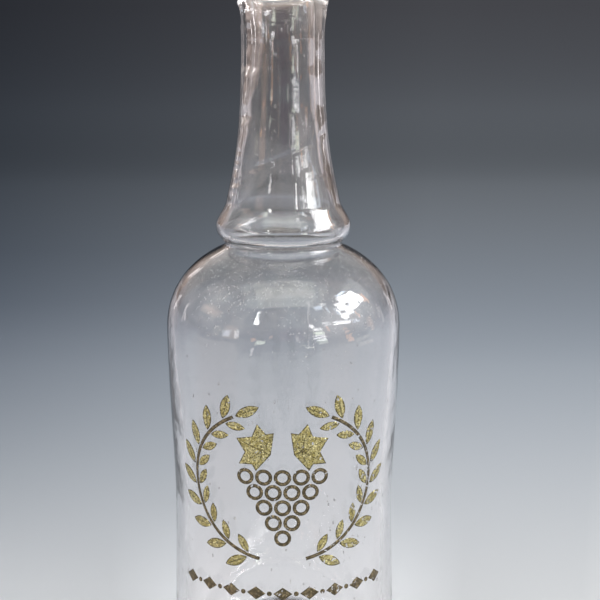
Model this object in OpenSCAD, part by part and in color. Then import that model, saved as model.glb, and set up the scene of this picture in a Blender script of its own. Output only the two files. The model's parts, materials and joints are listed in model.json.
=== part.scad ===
// A blown glass spirits bottle with fired gilding on the front of its body.
// The glass is one piece: foot, body, neck ring, flared neck and collared lip.
// The base rests on Z = 0, the axis is Z, and the gilded side faces -Y.

/* [Overall] */
// Height from the table to the top of the lip
height = 287; // [270:1:310]

/* [Body] */
// Diameter low on the body, just above the heel
foot_d = 85.8; // [84:0.2:90]
// Diameter of the slight waist, where the body draws in
body_d = 84.2; // [82:0.2:85.6]
// Height of that waist
waist_z = 75.5; // [64:0.5:88]
// Diameter of the shoulder, the widest level of the body
shoulder_d = 88.5; // [86.5:0.5:94]
// Height of the widest level
shoulder_z = 142; // [134:1:146]
// Height of the crease between the shoulder and the neck ring
crease_z = 175.1; // [170:0.1:179]
// Diameter at the bottom of the crease
crease_d = 44.3; // [42:0.1:47]
// Radius of the heel, where the body turns under
heel_r = 8; // [6:0.5:10]

/* [Foot] */
// Diameter of the middle of the ring that the bottle stands on
bearing_d = 66; // [60:1:68]
// Width of the flat of that ring
bearing_w = 3; // [2:0.25:4]
// Height of the push-up under the base
punt_h = 24; // [14:1:30]
// Thickness of the glass at the bottom
base_t = 6; // [4:0.5:8]

/* [Neck ring] */
// Diameter of the ring at the foot of the neck
ring_d = 50.6; // [49:0.2:53]
// Height of the ring's middle above the crease
ring_rise = 6.3; // [5:0.1:8]
// Height from the ring's middle to where the neck's flare begins
ring_top = 7.8; // [7:0.2:9]
// Diameter of the neck where the flare begins
flare_d = 43; // [41:0.2:46]

/* [Neck] */
// Diameter of the neck at its waist
neck_d = 30.6; // [29:0.2:33]
// Depth of that waist below the top of the lip
neck_drop = 38; // [33:1:46]

/* [Lip] */
// Height of the collar round the mouth
lip_h = 17; // [14:0.5:20]
// Diameter of the collar
lip_d = 41.5; // [39.5:0.5:45]
// Diameter of the neck where it meets the collar
under_lip_d = 37; // [35:0.5:37.5]
// Diameter of the bore that takes the cork
bore_d = 19; // [17:0.5:21]
// Length of that bore, with its rounded edge
bore_len = 18; // [14:0.5:20]

/* [Wall] */
// Thickness of the glass low on the body
wall_foot = 4.4; // [3.4:0.1:5]
// Thickness of the glass at the shoulder
wall_shoulder = 2.8; // [2.2:0.1:3.4]
// Thickness of the glass at the neck ring
wall_ring = 2.2; // [1.8:0.1:2.6]
// Thickness of the glass at the waist of the neck
wall_neck = 3.3; // [2.6:0.1:4]

/* [Gilding] */
// Thickness of the fired gilding
gilt_t = 0.2; // [0.15:0.05:0.3]
// Height of the middle of the wreath
wreath_z = 93; // [92:0.5:98]
// Width of the wreath's stems, measured round the glass
wreath_w = 70; // [60:1:72]
// Height of the wreath's stems
wreath_h = 58; // [53:1:60]
// Length of a leaf on the outside of the wreath
leaf_l = 9.5; // [8:0.25:10]
// Width of that leaf
leaf_w = 3.9; // [3:0.1:4.1]
// Size of a leaf on the inside, as a part of an outside one
inner_leaf = 0.8; // [0.6:0.05:0.85]
// Pairs of leaves on each stem
leaf_pairs = 9; // [6:1:9]
// Width of the painted stems
stem_w = 1.3; // [0.8:0.1:1.6]
// Diameter of a grape
grape_d = 6.2; // [5:0.1:6.6]
// Width of the ring painted round a grape's middle
grape_line = 1.3; // [0.9:0.1:1.5]
// Grapes in the top row of the bunch
grape_rows = 5; // [3:1:5]
// Height of that row above the middle of the wreath
bunch_rise = 3.2; // [1:0.1:4]
// Length of a vine leaf above the bunch
vine_leaf_l = 13.5; // [12:0.5:14]
// Height of the row of lozenges under the wreath
border_z = 51.5; // [46:0.5:52]
// Lozenges in that row
border_count = 9; // [5:2:11]
// Length of a lozenge
lozenge_l = 7; // [5:0.25:7.5]
// Height of a lozenge
lozenge_h = 5; // [3.5:0.25:6]
// Diameter of a dot between two lozenges
dot_d = 1.8; // [1.2:0.1:2]

/* [Hidden] */
$fn = 96;

foot_r = foot_d / 2;
body_r = body_d / 2;
shoulder_r = shoulder_d / 2;
crease_r = crease_d / 2;
ring_r = ring_d / 2;
ring_z = crease_z + ring_rise;
flare_r = flare_d / 2;
flare_z = ring_z + ring_top;
neck_r = neck_d / 2;
neck_z = height - neck_drop;
lip_r = lip_d / 2;
lip_z = height - lip_h;
under_lip_r = under_lip_d / 2;
bore_r = bore_d / 2;
bore_z = height - bore_len;
lip_round = 3;
foot_z = heel_r * 3;
bearing_in = (bearing_d - bearing_w) / 2;
bearing_out = (bearing_d + bearing_w) / 2;
gap = 0.5;
stem_start_angle = 14;
stem_end_angle = 150;
stem_steps = 24;
first_leaf_angle = stem_start_angle + 6;
last_leaf_angle = stem_end_angle - 9;
leaf_splay = 42;
leaf_clear = stem_w / 2 / sin(leaf_splay) + gap;
grape_pitch = grape_d + gap;
bunch_z = wreath_z + bunch_rise;
vine_z = bunch_z + grape_d / 2 + vine_leaf_l * 0.42;
vine_leaf_angle = 66;
lozenge_pitch = lozenge_l + dot_d + 2 * gap;
glass_colour = [0.86, 0.87, 0.88, 0.45];
gold = [0.66, 0.60, 0.34];
bronze = [0.35, 0.32, 0.22];

// Points of a cubic curve from a to d that leaves towards b and arrives from c, without its first point
function curve(a, b, c, d, steps) =
    [for (i = [1 : steps])
        let (t = i / steps, s = 1 - t)
        s * s * s * a + 3 * s * s * t * b + 3 * s * t * t * c + t * t * t * d];

// Underside, from the axis out to the start of the heel
function underside() =
    let (rim = [bearing_in - 3, 3])
    concat(
        [[0, punt_h]],
        curve([0, punt_h], [bearing_in * 0.45, punt_h], [bearing_in * 0.72, punt_h * 0.55], rim, 12),
        curve(rim, rim + [0.9, -1.8], [bearing_in - 1.2, 0], [bearing_in, 0], 4),
        [[bearing_out, 0]]);

// Heel, from the flat of the foot up to the straight side
function heel() =
    curve([bearing_out, 0], [foot_r - heel_r * 0.3, 0], [foot_r, heel_r * 0.45], [foot_r, heel_r * 1.5], 10);

// Side of the body, from the foot in to the waist, out to the shoulder and over it to the crease
function body_side() =
    let (
        foot = [foot_r, foot_z],
        waist = [body_r, waist_z],
        widest = [shoulder_r, shoulder_z],
        low = waist_z - foot_z,
        rise = shoulder_z - waist_z,
        dome = crease_z - shoulder_z,
        edge = [crease_r + 1.3, crease_z - 2.35])
    concat(
        [foot],
        curve(foot, foot + [0, low * 0.45], waist - [0, low * 0.39], waist, 8),
        curve(waist, waist + [0, rise * 0.26], widest - [0, rise * 0.42], widest, 12),
        curve(widest, widest + [0, dome * 0.49], [shoulder_r - 10, crease_z - dome * 0.22], edge, 20),
        curve(edge, edge + [-1.3, 0.7], [crease_r - 0.4, crease_z - 0.9], [crease_r, crease_z], 4));

// Ring and flared neck, from the crease to the waist of the neck
function neck_side() =
    let (
        crease = [crease_r, crease_z],
        belly = [ring_r, ring_z],
        flare = [flare_r, flare_z],
        waist = [neck_r, neck_z],
        rise = neck_z - flare_z)
    concat(
        curve(crease, crease + [1.8, 1.45], belly - [0, ring_rise * 0.57], belly, 8),
        curve(belly, belly + [0, ring_top * 0.2], flare + [1.1, -2.6], flare, 8),
        curve(flare, flare + [-2.7, rise * 0.21], waist - [0, rise * 0.6], waist, 18));

// Upper neck and collar, from the waist of the neck to the rim
function lip_side() =
    let (
        waist = [neck_r, neck_z],
        under = [under_lip_r, lip_z],
        rise = lip_z - neck_z,
        belly = [lip_r, lip_z + lip_h * 0.3],
        shelf = [lip_r - 1.2, height - lip_round - 1],
        top = [lip_r - 1.2 - lip_round, height])
    concat(
        curve(waist, waist + [0, rise * 0.31], under - [1.6, rise * 0.22], under, 10),
        curve(under, under + [0.9, 1.1], belly - [0, lip_h * 0.15], belly, 5),
        curve(belly, belly + [0, lip_h * 0.2], shelf - [0, 1], shelf, 5),
        curve(shelf, shelf + [-0.1, lip_round * 0.6], top + [lip_round * 0.5, 0], top, 6),
        [[bore_r + lip_round, height]]);

// Thickness of the wall at a height
function wall_at(z) =
    lookup(z, [[0, wall_foot], [waist_z, wall_foot], [shoulder_z, wall_shoulder],
               [crease_z, wall_ring], [ring_z, wall_ring], [neck_z, wall_neck]]);

// Outer points moved into the glass by the wall's thickness, square to the outline
function inward(points) =
    [for (i = [1 : len(points) - 2])
        let (
            along = points[i + 1] - points[i - 1],
            normal = [along.y, -along.x] / norm(along))
        points[i] - normal * wall_at(points[i].y)];

// Inside of the bottle, from the rim down the bore, neck and body to the axis
function inside() =
    let (
        wall = inward(concat([[foot_r, heel_r * 1.5]], body_side(), neck_side(), [[neck_r, neck_z + 1]])),
        top = wall[len(wall) - 1],
        throat = top + [0, (bore_z - neck_z) * 0.45],
        low = wall[0],
        foot = low - [0, heel_r * 0.25],
        rim = [bore_r + lip_round, height],
        bore_top = [bore_r, height - lip_round],
        valley = [bearing_in + 2, base_t],
        turn = (foot - valley) * 0.6,
        dome = [0, punt_h + base_t])
    concat(
        [rim],
        curve(rim, [bore_r + 1, height], bore_top + [0, 2.2], bore_top, 5),
        [[bore_r, bore_z]],
        curve([bore_r, bore_z], [bore_r, bore_z - 4], throat + [0, 5], throat, 8),
        [for (i = [len(wall) - 1 : -1 : 0]) wall[i]],
        [foot],
        curve(foot, foot - [0, turn.y], valley + [turn.x, 0], valley, 10),
        curve(valley, valley - [bearing_in * 0.08, 0], [bearing_in * 0.7, dome.y], dome, 12));

// Film of gilding all round the body, from which each motif is cut
module film() {
    skin = [for (p = body_side()) if (p.y <= shoulder_z) p];
    rotate_extrude()
        polygon(concat(skin, [for (i = [len(skin) - 1 : -1 : 0]) skin[i] + [gilt_t, 0]]));
}

// Motif cut from the film on the front of the body, u round the glass and z up it
module on_glass(u, z, spin = 0) {
    intersection() {
        film();
        rotate([0, 0, u / body_r * 180 / PI])
            translate([0, 0, z])
                rotate([90, 0, 0])
                    rotate([0, 0, spin])
                        linear_extrude(shoulder_d)
                            children();
    }
}

// Pointed leaf from its foot at the origin up to its tip
module leaf_shape(l, w) {
    r = (l * l + w * w) / (4 * w);
    intersection() {
        translate([r - w / 2, l / 2])
            circle(r);
        translate([w / 2 - r, l / 2])
            circle(r);
    }
}

// Place and heading of a point on the right-hand stem, t degrees round from its foot
function stem_point(t) = [wreath_w / 2 * sin(t), -wreath_h / 2 * cos(t)];
function stem_heading(t) = atan2(-wreath_w / 2 * cos(t), wreath_h / 2 * sin(t));

// Turn round the stem's oval of each pair of leaves
function pair_turn(i) = first_leaf_angle + (last_leaf_angle - first_leaf_angle) * i / (leaf_pairs - 1);

// Radius of the body's side at a height
function side_r(z) = lookup(z, [for (p = body_side()) if (p.y <= shoulder_z) [p.y, p.x]]);

// Point of the unrolled drawing, moved so that a straight cut from the front keeps its place
function on_front(p) = [side_r(wreath_z + p.y) * sin(p.x / body_r * 180 / PI), p.y];

// One edge of a stem
function stem_edge(side, offset) =
    [for (i = [0 : stem_steps])
        let (
            t = stem_start_angle + (stem_end_angle - stem_start_angle) * i / stem_steps,
            heading = stem_heading(t),
            p = stem_point(t) - [cos(heading), sin(heading)] * offset)
        on_front([side * p.x, p.y])];

module gilt_wreath_leaves() {
    color(gold)
        for (side = [-1, 1]) {
            for (i = [0 : leaf_pairs - 1], edge = [-1, 1]) {
                turn = pair_turn(i);
                spin = stem_heading(turn) + edge * leaf_splay;
                foot = stem_point(turn) + [-sin(spin), cos(spin)] * leaf_clear;
                size = edge > 0 ? inner_leaf : 1;
                on_glass(side * foot.x, wreath_z + foot.y, side * spin)
                    leaf_shape(leaf_l * size, leaf_w * size);
            }
            heading = stem_heading(stem_end_angle);
            tip = stem_point(stem_end_angle) + [-sin(heading), cos(heading)] * gap * 2;
            on_glass(side * tip.x, wreath_z + tip.y, side * heading)
                leaf_shape(leaf_l, leaf_w);
        }
}

module gilt_wreath_stems() {
    color(bronze)
        for (side = [-1, 1])
            intersection() {
                film();
                translate([0, 0, wreath_z])
                    rotate([90, 0, 0])
                        linear_extrude(shoulder_d) {
                            far = stem_edge(side, stem_w / 2);
                            near = stem_edge(side, -stem_w / 2);
                            polygon(concat(far, [for (i = [stem_steps : -1 : 0]) near[i]]));
                        }
            }
}

module gilt_grapes() {
    color(bronze)
        for (row = [0 : grape_rows - 1], i = [0 : grape_rows - 1 - row]) {
            u = (i - (grape_rows - 1 - row) / 2) * grape_pitch;
            z = bunch_z - row * grape_pitch * sin(60);
            on_glass(u, z)
                difference() {
                    circle(d = grape_d);
                    circle(d = grape_d - 2 * grape_line);
                }
        }
}

// Lobed leaf from its foot at the origin up to its middle point
module vine_leaf_shape() {
    reach = [0.6, 0.5, 0.85, 0.6, 1, 0.6, 0.85, 0.5, 0.6];
    polygon(concat([[0, 0]], [for (i = [0 : 8])
        let (turn = (i - 4) * 24)
        vine_leaf_l * [reach[i] * sin(turn), 0.22 + 0.78 * reach[i] * cos(turn)]]));
}

module gilt_vine_leaves() {
    color(gold)
        for (side = [-1, 1])
            on_glass(side * vine_leaf_l * 0.3, vine_z, -side * vine_leaf_angle)
                vine_leaf_shape();
}

module gilt_border() {
    color(bronze)
        for (i = [0 : border_count - 1]) {
            u = (i - (border_count - 1) / 2) * lozenge_pitch;
            on_glass(u, border_z)
                polygon([[lozenge_l / 2, 0], [0, lozenge_h / 2], [-lozenge_l / 2, 0], [0, -lozenge_h / 2]]);
            if (i > 0)
                on_glass(u - lozenge_pitch / 2, border_z)
                    circle(d = dot_d);
        }
}

module bottle() {
    color(glass_colour)
        difference() {
            rotate_extrude()
                polygon(concat(underside(), heel(), body_side(), neck_side(), lip_side(), [[0, height]]));
            rotate_extrude()
                polygon(concat([[0, height + gap], [bore_r + lip_round, height + gap]], inside()));
        }
}

bottle();
gilt_wreath_leaves();
gilt_wreath_stems();
gilt_grapes();
gilt_vine_leaves();
gilt_border();
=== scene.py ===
"""Blown glass spirits bottle with fired gilding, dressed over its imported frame."""
import json
import math

import bmesh
import bpy
import numpy as np
from bpy.props import FloatProperty, FloatVectorProperty, IntProperty, PointerProperty
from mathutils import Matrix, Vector, noise

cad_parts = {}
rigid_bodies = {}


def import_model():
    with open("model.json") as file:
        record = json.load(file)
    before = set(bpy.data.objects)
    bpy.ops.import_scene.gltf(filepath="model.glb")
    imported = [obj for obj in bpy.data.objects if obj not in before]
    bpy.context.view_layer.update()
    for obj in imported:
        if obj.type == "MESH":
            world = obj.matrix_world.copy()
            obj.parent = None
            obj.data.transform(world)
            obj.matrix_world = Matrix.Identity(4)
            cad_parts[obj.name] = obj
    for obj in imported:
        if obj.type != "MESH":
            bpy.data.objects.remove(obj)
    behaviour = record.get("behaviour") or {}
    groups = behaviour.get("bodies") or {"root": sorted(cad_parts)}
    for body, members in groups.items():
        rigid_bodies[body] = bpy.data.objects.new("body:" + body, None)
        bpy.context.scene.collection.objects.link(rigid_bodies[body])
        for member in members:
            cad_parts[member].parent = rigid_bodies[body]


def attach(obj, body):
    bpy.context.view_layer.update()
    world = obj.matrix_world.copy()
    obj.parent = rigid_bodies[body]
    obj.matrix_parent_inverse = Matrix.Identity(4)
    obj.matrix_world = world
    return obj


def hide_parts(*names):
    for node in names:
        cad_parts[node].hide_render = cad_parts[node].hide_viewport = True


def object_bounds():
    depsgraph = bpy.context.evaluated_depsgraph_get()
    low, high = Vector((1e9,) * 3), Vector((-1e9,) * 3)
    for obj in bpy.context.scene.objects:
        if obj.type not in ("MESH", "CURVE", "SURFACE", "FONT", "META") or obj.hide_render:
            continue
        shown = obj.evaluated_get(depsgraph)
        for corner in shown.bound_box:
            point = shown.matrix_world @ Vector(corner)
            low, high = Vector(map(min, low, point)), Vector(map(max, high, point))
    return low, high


bl_info = {
    "name": "Gilded Spirits Bottle",
    "version": (1, 0, 0),
    "blender": (4, 5, 0),
    "location": "View3D > Sidebar > Bottle",
    "description": "Builds a blown glass spirits bottle with fired gilding over its packed frame",
    "category": "Object",
}

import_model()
CAD_BOX = [list(corner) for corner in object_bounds()]
MM = 0.001
GLASS_IOR, SEED_IOR = 1.52, 1.33


def length(name, description, mm):
    """A size in metres, written in millimetres."""
    return FloatProperty(name=name, description=description, default=mm * MM, unit="LENGTH", precision=5)


def shade(name, description, colour):
    """A colour that the user may change."""
    return FloatVectorProperty(name=name, description=description, default=colour, size=3, subtype="COLOR",
                               min=0.0, max=1.0)


def share(name, description, value):
    """A share from none to all."""
    return FloatProperty(name=name, description=description, default=value, subtype="FACTOR",
                         min=0.0, max=1.0)


def amount(name, description, value):
    """A number that is never below none."""
    return FloatProperty(name=name, description=description, default=value, min=0.0)


def count(name, description, value, least=1):
    """A whole number of things."""
    return IntProperty(name=name, description=description, default=value, min=least)


class BottleGlass(bpy.types.PropertyGroup):
    height: length("Height", "From the table to the top of the lip", CAD_BOX[1][2] / MM)
    foot_d: length("Foot", "Diameter low on the body", 85.8)
    waist_d: length("Waist", "Diameter where the body draws in", 84.2)
    waist_z: length("Waist height", "Height of the body's waist", 75.5)
    shoulder_d: length("Shoulder", "Diameter of the widest level", 2 * CAD_BOX[1][0] / MM)
    shoulder_z: length("Shoulder height", "Height of the widest level", 142)
    crease_d: length("Crease", "Diameter at the bottom of the crease under the ring", 44.3)
    crease_z: length("Crease height", "Height of the crease", 175.1)
    heel_r: length("Heel", "Radius where the body turns under", 8)
    bearing_d: length("Bearing ring", "Diameter of the ring that the bottle stands on", 66)
    bearing_w: length("Bearing width", "Width of the flat of that ring", 3)
    punt_h: length("Push-up", "Height of the push-up under the base", 24)
    base_t: length("Base", "Thickness of the glass at the bottom", 6)
    ring_d: length("Neck ring", "Diameter of the ring at the foot of the neck", 50.6)
    ring_rise: length("Ring rise", "Height of the ring's middle above the crease", 6.3)
    ring_top: length("Ring top", "From the ring's middle to the start of the flare", 7.8)
    flare_d: length("Flare", "Diameter of the neck where its flare begins", 43)
    neck_d: length("Neck", "Diameter of the neck at its waist", 30.6)
    neck_drop: length("Neck depth", "Depth of the neck's waist under the top", 38)
    lip_h: length("Lip", "Height of the collar round the mouth", 17)
    lip_d: length("Lip width", "Diameter of the collar", 41.5)
    under_lip_d: length("Under the lip", "Diameter of the neck where it meets the collar", 37)
    bore_d: length("Bore", "Diameter of the bore that takes the cork", 19)
    bore_len: length("Bore length", "Length of that bore", 18)
    wall_foot: length("Wall, foot", "Thickness of the glass low on the body", 4.4)
    wall_shoulder: length("Wall, shoulder", "Thickness of the glass at the shoulder", 2.8)
    wall_ring: length("Wall, ring", "Thickness of the glass at the neck ring", 2.2)
    wall_neck: length("Wall, neck", "Thickness of the glass at the neck's waist", 3.3)
    waves: length("Waves", "Depth of the waves that blowing left in the outside", 0.16)
    inner_waves: length("Inner waves", "Depth of the waves in the inside", 0.28)
    tool_marks: length("Tool marks", "Depth of the winding marks on the neck", 0.05)
    inner_marks: length("Inner marks", "Depth of the kinks inside the neck", 0.4)
    bore_drift: length("Drift", "How far the neck's inside lies off its middle", 0.3)
    thick_side: length("Thick side", "How much thicker the upper neck is on its left", 1.3)
    kinks: length("Kinks", "Depth of the kinks along the left of the neck's inside", 0.4)
    chips: length("Chips", "Depth of the pits on the left of the upper neck", 0.4)
    seeds: count("Seeds", "Bubbles in each ten square centimetres", 3, 0)
    tint: shade("Tint", "Colour that light takes on in thick glass", (0.86, 0.79, 0.84))
    tint_depth: amount("Tint depth", "How fast the tint builds up in the glass", 7.0)


class BottleGilding(bpy.types.PropertyGroup):
    thickness: length("Thickness", "Thickness of the fired gilding at its middle", 0.14)
    wreath_z: length("Wreath height", "Height of the middle of the wreath", 93)
    wreath_w: length("Wreath width", "Width of the wreath's stems, round the glass", 70)
    wreath_h: length("Wreath rise", "Height of the wreath's stems", 58)
    leaf_l: length("Leaf", "Length of a leaf on the outside of the wreath", 9.5)
    leaf_w: length("Leaf width", "Width of that leaf", 3.9)
    inner_leaf: share("Inner leaf", "Size of an inside leaf, as a part of an outside one", 0.8)
    leaf_pairs: count("Leaf pairs", "Pairs of leaves on each stem", 9, 2)
    stem_w: length("Stem", "Width of the painted stems", 1.3)
    grape_d: length("Grape", "Diameter of a grape", 6.2)
    grape_line: length("Grape line", "Width of the ring painted round a grape", 1.3)
    grape_rows: count("Grape rows", "Rows of the bunch, and grapes in its top row", 5)
    bunch_rise: length("Bunch", "Height of the top row above the wreath's middle", 3.2)
    vine_leaf_l: length("Vine leaf", "Length of a vine leaf", 13.5)
    border_z: length("Border height", "Height of the row of lozenges", 51.5)
    border_count: count("Lozenges", "Lozenges in the row", 9)
    lozenge_l: length("Lozenge", "Length of a lozenge", 7)
    lozenge_h: length("Lozenge rise", "Height of a lozenge", 5)
    dot_d: length("Dot", "Diameter of a dot between two lozenges", 1.8)
    gap: length("Gap", "Least room between two motifs", 0.5)
    gold: shade("Gold", "Colour of the fired gold", (0.39, 0.335, 0.115))
    pale_gold: shade("Pale gold", "Colour of the gold where it is rubbed", (0.60, 0.56, 0.31))
    bronze: shade("Bronze", "Colour of the darkened gilding", (0.088, 0.071, 0.042))
    rim: shade("Rim", "Colour of the dark rim round each motif", (0.055, 0.045, 0.022))
    wear: share("Wear", "How much of the gilding has flaked away", 0.3)


class BottleStage(bpy.types.PropertyGroup):
    near: shade("Near", "Colour of the paper just behind the bottle", (0.68, 0.695, 0.715))
    middle: shade("Middle", "Colour of the paper a little way back", (0.335, 0.369, 0.417))
    back: shade("Back", "Colour of the paper further back", (0.131, 0.145, 0.164))
    distant: shade("Distant", "Colour of the paper a long way back", (0.090, 0.098, 0.112))
    far: shade("Far", "Colour of the paper at its far end, and of the wall over it", (0.061, 0.063, 0.072))
    # dusk is the colour of the painted shade on the left of the paper
    dusk: shade("Dusk", "Shade of the paper behind the bottle on its dark left", (0.40, 0.425, 0.465))
    left: shade("Left", "Colour of the paper in front, on the left", (0.93, 0.83, 0.79))
    right: shade("Right", "Colour of the paper in front and on the right", (0.86, 0.845, 0.835))
    near_edge: length("Camera distance", "From the bottle's axis to the camera", 500)
    low_wall: shade("Low wall", "Light of the room's wall at the horizon", (0.44, 0.375, 0.355))
    wall: shade("Wall", "Light of the wall a quarter of the way up", (0.76, 0.71, 0.67))
    ceiling: shade("Ceiling", "Light of the ceiling", (1.0, 1.0, 0.94))
    front_wall: shade("Front wall", "Light of the wall straight in front of the bottle", (0.28, 0.12, 0.16))
    back_wall: share("Back wall", "Brightness of the low walls behind, as a part of those in front", 0.55)
    glow: amount("Glow", "Brightness of the wall round the windows", 0.75)
    plain: amount("Plain light", "Brightness of the even light on matt surfaces", 0.96)
    soft_box: amount("Soft box", "Brightness of the large soft lamps", 1.6)
    window: amount("Windows", "Brightness of the windows seen in the glass", 20.0)


# Outline of the glass, in millimetres of radius and height. The factors in it say how far each curve's
# handles reach along its stretch.

def curve(a, b, c, d, steps):
    """Points of a cubic curve from a to d that leaves towards b and arrives from c, without its first."""
    a, b, c, d = (np.array(p, float) for p in (a, b, c, d))
    t = np.linspace(0, 1, steps + 1)[1:, None]
    s = 1 - t
    return s**3 * a + 3 * s * s * t * b + 3 * s * t * t * c + t**3 * d


def sizes_mm(group):
    """The lengths of a property group in millimetres, the rest as they are."""
    values = {}
    for key, prop in group.bl_rna.properties.items():
        if key in ("rna_type", "name"):
            continue
        value = getattr(group, key)
        values[key] = value / MM if getattr(prop, "unit", "NONE") == "LENGTH" else value
    return type("Sizes", (), values)


def body_side(g):
    """Side of the body, from the foot to the waist, the shoulder and the crease."""
    foot, waist = np.array([g.foot_d / 2, g.heel_r * 3]), np.array([g.waist_d / 2, g.waist_z])
    widest = np.array([g.shoulder_d / 2, g.shoulder_z])
    crease = np.array([g.crease_d / 2, g.crease_z])
    low, rise, dome = g.waist_z - foot[1], g.shoulder_z - g.waist_z, g.crease_z - g.shoulder_z
    edge = crease + [1.3, -2.35]
    return np.vstack([
        [foot],
        curve(foot, foot + [0, low * 0.45], waist - [0, low * 0.39], waist, 24),
        curve(waist, waist + [0, rise * 0.26], widest - [0, rise * 0.42], widest, 30),
        curve(widest, widest + [0, dome * 0.49], [widest[0] - 10, crease[1] - dome * 0.22], edge, 34),
        curve(edge, edge + [-1.3, 0.7], crease + [-0.4, -0.9], crease, 8)])


def neck_side(g):
    """Ring and flared neck, from the crease to the neck's waist."""
    crease = np.array([g.crease_d / 2, g.crease_z])
    belly = np.array([g.ring_d / 2, g.crease_z + g.ring_rise])
    flare = np.array([g.flare_d / 2, belly[1] + g.ring_top])
    waist = np.array([g.neck_d / 2, g.height - g.neck_drop])
    rise = waist[1] - flare[1]
    return np.vstack([
        curve(crease, crease + [1.8, 1.45], belly - [0, g.ring_rise * 0.57], belly, 12),
        curve(belly, belly + [0, g.ring_top * 0.2], flare + [1.1, -2.6], flare, 12),
        curve(flare, flare + [-2.7, rise * 0.21], waist - [0, rise * 0.6], waist, 50)])


def outer_side(g):
    """The whole outside, from the axis under the base to the rim of the mouth."""
    inside, outside = (g.bearing_d - g.bearing_w) / 2, (g.bearing_d + g.bearing_w) / 2
    rim, foot_r = np.array([inside - 3, 3]), g.foot_d / 2
    waist = np.array([g.neck_d / 2, g.height - g.neck_drop])
    under = np.array([g.under_lip_d / 2, g.height - g.lip_h])
    rise, lip_r, turn = under[1] - waist[1], g.lip_d / 2, 3
    belly = np.array([lip_r, under[1] + g.lip_h * 0.3])
    shelf, top = np.array([lip_r - 1.2, g.height - turn - 1]), np.array([lip_r - 1.2 - turn, g.height])
    return np.vstack([
        [[0, g.punt_h]],
        curve([0, g.punt_h], [inside * 0.45, g.punt_h], [inside * 0.72, g.punt_h * 0.55], rim, 22),
        curve(rim, rim + [0.9, -1.8], [inside - 1.2, 0], [inside, 0], 8),
        [[outside, 0]],
        curve([outside, 0], [foot_r - g.heel_r * 0.3, 0], [foot_r, g.heel_r * 0.45],
              [foot_r, g.heel_r * 1.5], 18),
        body_side(g),
        neck_side(g),
        curve(waist, waist + [0, rise * 0.31], under - [1.6, rise * 0.22], under, 14),
        curve(under, under + [0.9, 1.1], belly - [0, g.lip_h * 0.15], belly, 7),
        curve(belly, belly + [0, g.lip_h * 0.2], shelf - [0, 1], shelf, 8),
        curve(shelf, shelf + [-0.1, turn * 0.6], top + [turn * 0.5, 0], top, 8),
        [[g.bore_d / 2 + turn, g.height]]])


def inner_side(g):
    """The whole inside, from the rim down the bore, neck and body to the axis."""
    bore_r, bore_z, turn = g.bore_d / 2, g.height - g.bore_len, 3
    heights = [0, g.waist_z, g.shoulder_z, g.crease_z, g.crease_z + g.ring_rise, g.height - g.neck_drop]
    walls = [g.wall_foot, g.wall_foot, g.wall_shoulder, g.wall_ring, g.wall_ring, g.wall_neck]
    side = np.vstack([[[g.foot_d / 2, g.heel_r * 1.5]], body_side(g), neck_side(g),
                      [[g.neck_d / 2, g.height - g.neck_drop + 1]]])
    along = side[2:] - side[:-2]
    normal = np.column_stack([along[:, 1], -along[:, 0]]) / np.linalg.norm(along, axis=1)[:, None]
    wall = side[1:-1] - normal * np.interp(side[1:-1, 1], heights, walls)[:, None]
    keep = [0]
    for i in range(1, len(wall)):
        if np.hypot(*(wall[i] - wall[keep[-1]])) > 0.25:
            keep.append(i)
    wall = wall[keep]
    top, low = wall[-1], wall[0]
    throat = top + [0, (bore_z - top[1]) * 0.62]
    foot, valley = low - [0, g.heel_r * 0.25], np.array([(g.bearing_d - g.bearing_w) / 2 + 2, g.base_t])
    bend, crown = (foot - valley) * 0.6, g.punt_h + g.base_t
    start = valley[0] - 2
    return np.vstack([
        curve([bore_r + turn, g.height], [bore_r + 1, g.height], [bore_r, g.height - 0.8],
              [bore_r, g.height - turn], 8),
        [[bore_r, z] for z in np.linspace(g.height - turn, bore_z, 7)[1:]],
        curve([bore_r, bore_z], [bore_r, bore_z - 1], throat + [0, 5], throat, 12),
        wall[::-1],
        [foot],
        curve(foot, foot - [0, bend[1]], valley + [bend[0], 0], valley, 18),
        curve(valley, valley - [start * 0.08, 0], [start * 0.7, crown], [0, crown], 24)])


# Unevenness that blowing and tooling by hand left in the glass, with heights in millimetres

def ramp(x, low, high):
    """0 under low, 1 over high and smooth between."""
    t = min(max((x - low) / (high - low), 0.0), 1.0)
    return t * t * (3 - 2 * t)


def waves(turn, z, seed, round_count, tall):
    """Smooth noise that closes on itself round the bottle, from about -1 to 1. Seed picks its pattern,
    round_count is its number of waves round the glass, and tall the height of each.
    """
    reach = round_count / math.tau
    return noise.noise(Vector((math.cos(turn) * reach + seed, math.sin(turn) * reach, z / tall))) * 1.6


def winding_mark(turn, z, pitch, foot, width):
    """A narrow ridge that winds up the neck."""
    off = (z - foot - pitch * turn / math.tau) / pitch
    off = (off - round(off)) * pitch / width
    return math.exp(-off * off)


def on_left(turn, power):
    """1 on the left of the bottle, 0 from its front and back on."""
    return max(-math.cos(turn), 0.0) ** power


def outside_dent(g, turn, z):
    """How far the outside lies inside its true outline."""
    soft = waves(turn, z, 3.1, 3.0, 46) + 0.45 * waves(turn, z, 7.7, 9, 30)
    streak = waves(turn, z, 5.3, 34, 160)
    level = ramp(z, 3, 16) * (1 - 0.6 * ramp(z, 262, 275))
    neck = ramp(z, 186, 205) * (1 - ramp(z, 258, 268))
    broken = ramp(waves(turn, z, 41.3, 4, 20), 0.0, 0.5)
    mark = g.tool_marks * winding_mark(turn, z, 27, 203, 0.7) * neck * broken
    chips = ramp(waves(turn, z, 83.1, 9, 3.2), 0.0, 0.45) * on_left(turn, 4) * ramp(z, 252, 255)
    chips *= 1 - ramp(z, 266, 270)
    return level * (g.waves * (0.55 + 0.32 * soft) + 0.006 * (1 + streak)) + mark + g.chips * chips


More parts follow.
